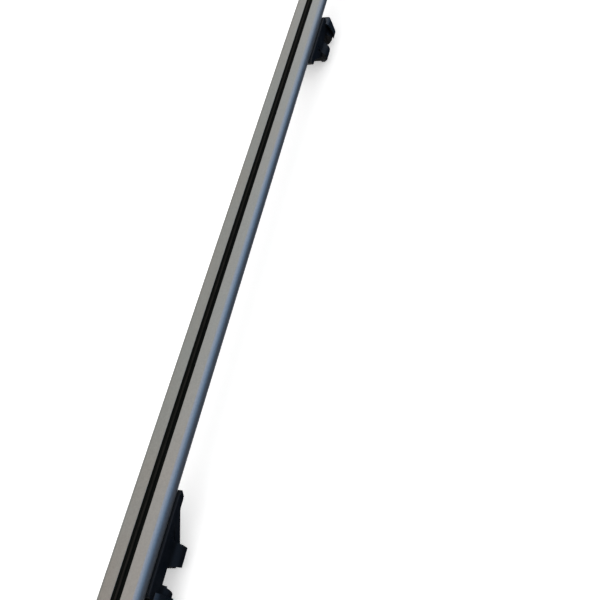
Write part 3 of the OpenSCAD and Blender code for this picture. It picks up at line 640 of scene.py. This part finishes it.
# %% [markdown]
# ## Rounded edges on the pressed pieces
#
# Nuts, washers, plates and the lock's tongue are pressed or tumbled, which breaks their
# edges by a few tenths of a millimetre. A Bevel node would only shade that. These pieces
# are small and plain, so a Bevel modifier rounds their real edges instead.

# %% Round the pressed edges
PRESSED_ROUND = 0.0003
PRESSED_ANGLE = math.radians(35)

pressed = each_foot("captive_nut", "clamp_plate", "lock_tongue", "washer")
for name in pressed:
    weld(name)
    bevel = nodes[name].modifiers.new("round", "BEVEL")
    bevel.width, bevel.segments = PRESSED_ROUND, 2
    bevel.limit_method, bevel.angle_limit = "ANGLE", PRESSED_ANGLE
    bevel.harden_normals = True
print("rounded:", pressed)

# %% [markdown]
# ## The floor
#
# A photograph of a product on white has a pale floor. The floor is a plain pale material
# that keeps the object's soft shadow. Light alone would leave it a little grey, and more
# light would bleach the object too. So the floor glows faintly, but only where the camera
# looks at it directly, which the Light Path node tells.

# %% Floor
FLOOR_SINK = 0.0002
FLOOR_GLOW = 0.42


def stage_plane(name, size, place, turn_x=0.0):
    """A rectangle of the studio, which isn't part of the object."""
    x, y = size[0] / 2, size[1] / 2
    mesh = bpy.data.meshes.new(name)
    mesh.from_pydata([(-x, -y, 0), (x, -y, 0), (x, y, 0), (-x, y, 0)], [], [(0, 1, 2, 3)])
    plane = bpy.data.objects.new(name, mesh)
    plane.matrix_world = Matrix.Translation(place) @ Matrix.Rotation(turn_x, 4, "X")
    bpy.context.scene.collection.objects.link(plane)
    return plane


floor = stage_plane("floor", (40, 40), (0, 0, -FLOOR_SINK))
paint = Finish("floor_paint", (0.97, 0.97, 0.97), roughness=0.9, specular_ior_level=0.1)
seen_directly = paint.add("ShaderNodeLightPath").outputs["Is Camera Ray"]
paint.shader.inputs["Emission Color"].default_value = (1, 1, 1, 1)
paint.link(paint.times(seen_directly, FLOOR_GLOW), paint.shader.inputs["Emission Strength"])
floor.data.materials.append(paint.material)
print("floor at:", floor.location.z)

# %% [markdown]
# ## Cards for the metal to mirror
#
# Polished or satin metal shows what is around it. In an empty white room its round sides
# would vanish, so photographers put cards beside it. Each card here gives plain light
# that fades from one colour to the next along one axis, and only mirror rays see it, so
# the cards shape the metal and change nothing else. The front side is dark and bluish,
# and the ceiling is a little warmer above the near end of the bar. Each list of stops
# below gives places along the axis in metres, with the light's colour at each place.

# %% A card's light
def glow(name, axis, low, high, stops):
    """Plain light that changes with the place along an axis, from low to high in metres."""
    material = bpy.data.materials.new(name)
    material.use_nodes = True
    tree = material.node_tree
    tree.nodes.clear()
    place = tree.nodes.new("ShaderNodeNewGeometry").outputs["Position"]
    split = tree.nodes.new("ShaderNodeSeparateXYZ")
    reach = tree.nodes.new("ShaderNodeMapRange")
    reach.inputs[1].default_value, reach.inputs[2].default_value = low, high
    ramp = tree.nodes.new("ShaderNodeValToRGB")
    while len(ramp.color_ramp.elements) < len(stops):
        ramp.color_ramp.elements.new(0.5)
    for element, (at, colour) in zip(ramp.color_ramp.elements, stops):
        element.position = (at - low) / (high - low)
        element.color = (*colour, 1)
    light = tree.nodes.new("ShaderNodeEmission")
    out = tree.nodes.new("ShaderNodeOutputMaterial")
    tree.links.new(place, split.inputs[0])
    tree.links.new(split.outputs[axis], reach.inputs[0])
    tree.links.new(reach.outputs[0], ramp.inputs[0])
    tree.links.new(ramp.outputs["Color"], light.inputs["Color"])
    tree.links.new(light.outputs[0], out.inputs["Surface"])
    return material


def mirror_card(name, size, place, turn_x, light):
    """A card with this light that only mirror rays see."""
    card = stage_plane(name, size, place, turn_x)
    card.data.materials.append(light)
    card.visible_camera = card.visible_diffuse = card.visible_shadow = False
    card.visible_transmission = card.visible_volume_scatter = False
    print("card:", card.name)


print("card kit ready")

# %% Ceiling cards
FRONT_SKY = [(-3, (0.70, 0.84, 1.15)), (-0.1, (0.72, 0.86, 1.15))]
FAR_SKY = FRONT_SKY + [(0.2, (0.95, 0.96, 0.96)), (1.15, (0.93, 0.95, 0.93)),
                       (1.65, (0.50, 0.50, 0.45)), (3, (0.47, 0.47, 0.43))]
NEAR_SKY = FRONT_SKY + [(0.2, (1.00, 0.95, 0.91)), (1.15, (1.00, 0.93, 0.87)),
                        (1.65, (0.57, 0.455, 0.37)), (3, (0.54, 0.425, 0.355))]

CEILING, CEILING_HEIGHT = (9, 9), 2.4
NEAR_CEILING, NEAR_MIDDLE, NEAR_HEIGHT = (4.9, 9), -2.05, 2.39

mirror_card("ceiling", CEILING, (0, 0, CEILING_HEIGHT), math.pi,
            glow("ceiling_glow", "Y", -3, 3, FAR_SKY))
mirror_card("near_ceiling", NEAR_CEILING, (NEAR_MIDDLE, 0, NEAR_HEIGHT), math.pi,
            glow("near_glow", "Y", -3, 3, NEAR_SKY))

# %% Side and floor cards
FRONT_BLUES = [(0, (0.06, 0.14, 0.29)), (0.5, (0.165, 0.34, 0.64)), (1.3, (0.38, 0.65, 1.04))]
WALL, WALL_AWAY, WALL_HEIGHT = (6, 1.6), 1.6, 0.8
FLOOR_CARD, FLOOR_CARD_AWAY, FLOOR_CARD_HEIGHT = (6, 1.57), 0.817, 0.0005


def plain(name, colour):
    """The same light all over a card."""
    return glow(name, "Z", 0, 1, [(0, colour), (1, colour)])


mirror_card("front_wall", WALL, (0, -WALL_AWAY, WALL_HEIGHT), math.pi / 2,
            glow("front_glow", "Z", 0, 1.6, FRONT_BLUES))
mirror_card("back_wall", WALL, (0, WALL_AWAY, WALL_HEIGHT), -math.pi / 2,
            plain("back_glow", (0.60, 0.60, 0.58)))
mirror_card("front_floor_card", FLOOR_CARD, (0, -FLOOR_CARD_AWAY, FLOOR_CARD_HEIGHT), 0.0,
            plain("front_shade", (0.02, 0.04, 0.08)))
mirror_card("back_floor_card", FLOOR_CARD, (0, FLOOR_CARD_AWAY, FLOOR_CARD_HEIGHT), 0.0,
            plain("back_shade", (0.42, 0.42, 0.40)))

# %% [markdown]
# ## Light
#
# The world gives even light from all sides, which sets the level: at a strength of 1 a
# colour would render as it is written. Part of that level comes from one large soft lamp
# above and beside the bar instead, so that forms have a lit and a shaded side. Mirrors
# don't see the lamp, because the cards already say what the metal shows. Behind the
# floor's edge the world is white for the camera and for mirrors, and dimmer for the rest.

# %% World
WORLD_LEVEL = 0.78

world = bpy.data.worlds.new("studio")
bpy.context.scene.world = world
world.use_nodes = True
tree = world.node_tree
sky = tree.nodes["Background"]
sky.inputs["Color"].default_value = (1, 1, 1, 1)
path = tree.nodes.new("ShaderNodeLightPath")


def either(one, two):
    """1 where one of two Light Path outputs is 1."""
    node = tree.nodes.new("ShaderNodeMath")
    node.operation = "MAXIMUM"
    tree.links.new(one, node.inputs[0])
    tree.links.new(two, node.inputs[1])
    return node.outputs[0]


mirrored = either(path.outputs["Is Glossy Ray"], path.outputs["Is Transmission Ray"])
seen = either(path.outputs["Is Camera Ray"], mirrored)
level = tree.nodes.new("ShaderNodeMapRange")
level.inputs[3].default_value, level.inputs[4].default_value = WORLD_LEVEL, 1.0
tree.links.new(seen, level.inputs[0])
tree.links.new(level.outputs[0], sky.inputs["Strength"])
bpy.context.scene.view_settings.view_transform = "Standard"
print("world level:", WORLD_LEVEL)

# %% Lamp
LAMP_PLACE = Vector((-0.9, 1.1, 1.9))
LAMP_SIZE = (2.6, 2.0)
LAMP_WATTS = 24

lamp = bpy.data.lights.new("softbox", "AREA")
lamp.shape, lamp.size, lamp.size_y = "RECTANGLE", *LAMP_SIZE
lamp.energy = LAMP_WATTS
softbox = bpy.data.objects.new("softbox", lamp)
softbox.location = LAMP_PLACE
softbox.rotation_euler = (-LAMP_PLACE).to_track_quat("-Z", "Y").to_euler()
softbox.visible_glossy = False
bpy.context.scene.collection.objects.link(softbox)
print("lamp watts:", lamp.energy)
